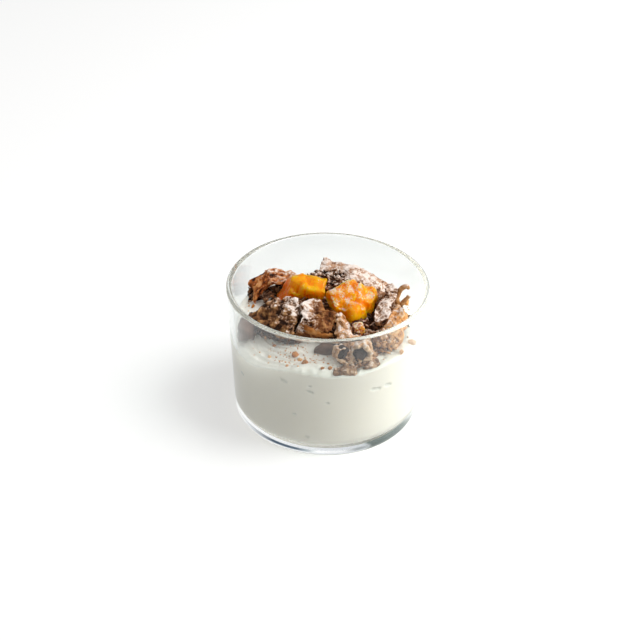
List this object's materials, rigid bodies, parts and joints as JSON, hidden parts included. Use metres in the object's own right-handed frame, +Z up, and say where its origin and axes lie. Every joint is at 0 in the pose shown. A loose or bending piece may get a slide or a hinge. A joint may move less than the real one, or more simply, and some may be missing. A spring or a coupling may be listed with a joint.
{
  "type": "yogurt parfait in a glass",
  "caption": "Low clear glass filled with plain yogurt and topped with dusted chocolate shavings, curls, a biscuit chunk and cut fruit.",
  "frame": {"origin": "centre of the glass's footprint, on the surface it stands on", "axes": "+Z up along the glass's axis, -Y towards the side the front curls lie on, +X to the right seen from there"},
  "size_m": [0.0858, 0.0858, 0.063],
  "materials": {
    "glass": "clear, polished",
    "yogurt": "moist, smooth, thick plain yogurt",
    "chocolate": "milk chocolate, slightly waxy",
    "dusted_chocolate": "milk chocolate with icing sugar",
    "biscuit": "rough, crumbly chocolate biscuit",
    "fruit": "wet cut peach, some sugar on it"
  },
  "bodies": {
    "root": {"biscuit_front_left": "biscuit", "crumb_at_wall_left": "biscuit", "crumb_at_wall_right": "biscuit", "crumb_by_fruit": "biscuit", "curl_front_left": "chocolate", "curl_front_right": "chocolate", "fruit_bit": "fruit", "fruit_left": "fruit", "fruit_right": "fruit", "glass": "glass", "leaf_back_left": "dusted_chocolate", "leaf_front_middle": "dusted_chocolate", "leaf_front_second": "dusted_chocolate", "leaf_in_gap": "chocolate", "leaf_inside_left": "chocolate", "leaf_left_wall": "chocolate", "leaf_right": "dusted_chocolate", "leaf_under_shard": "chocolate", "loop_left": "chocolate", "shard_back": "dusted_chocolate", "strip_right": "chocolate", "tube_right": "dusted_chocolate", "yogurt": "yogurt"}
  },
  "joints": []
}
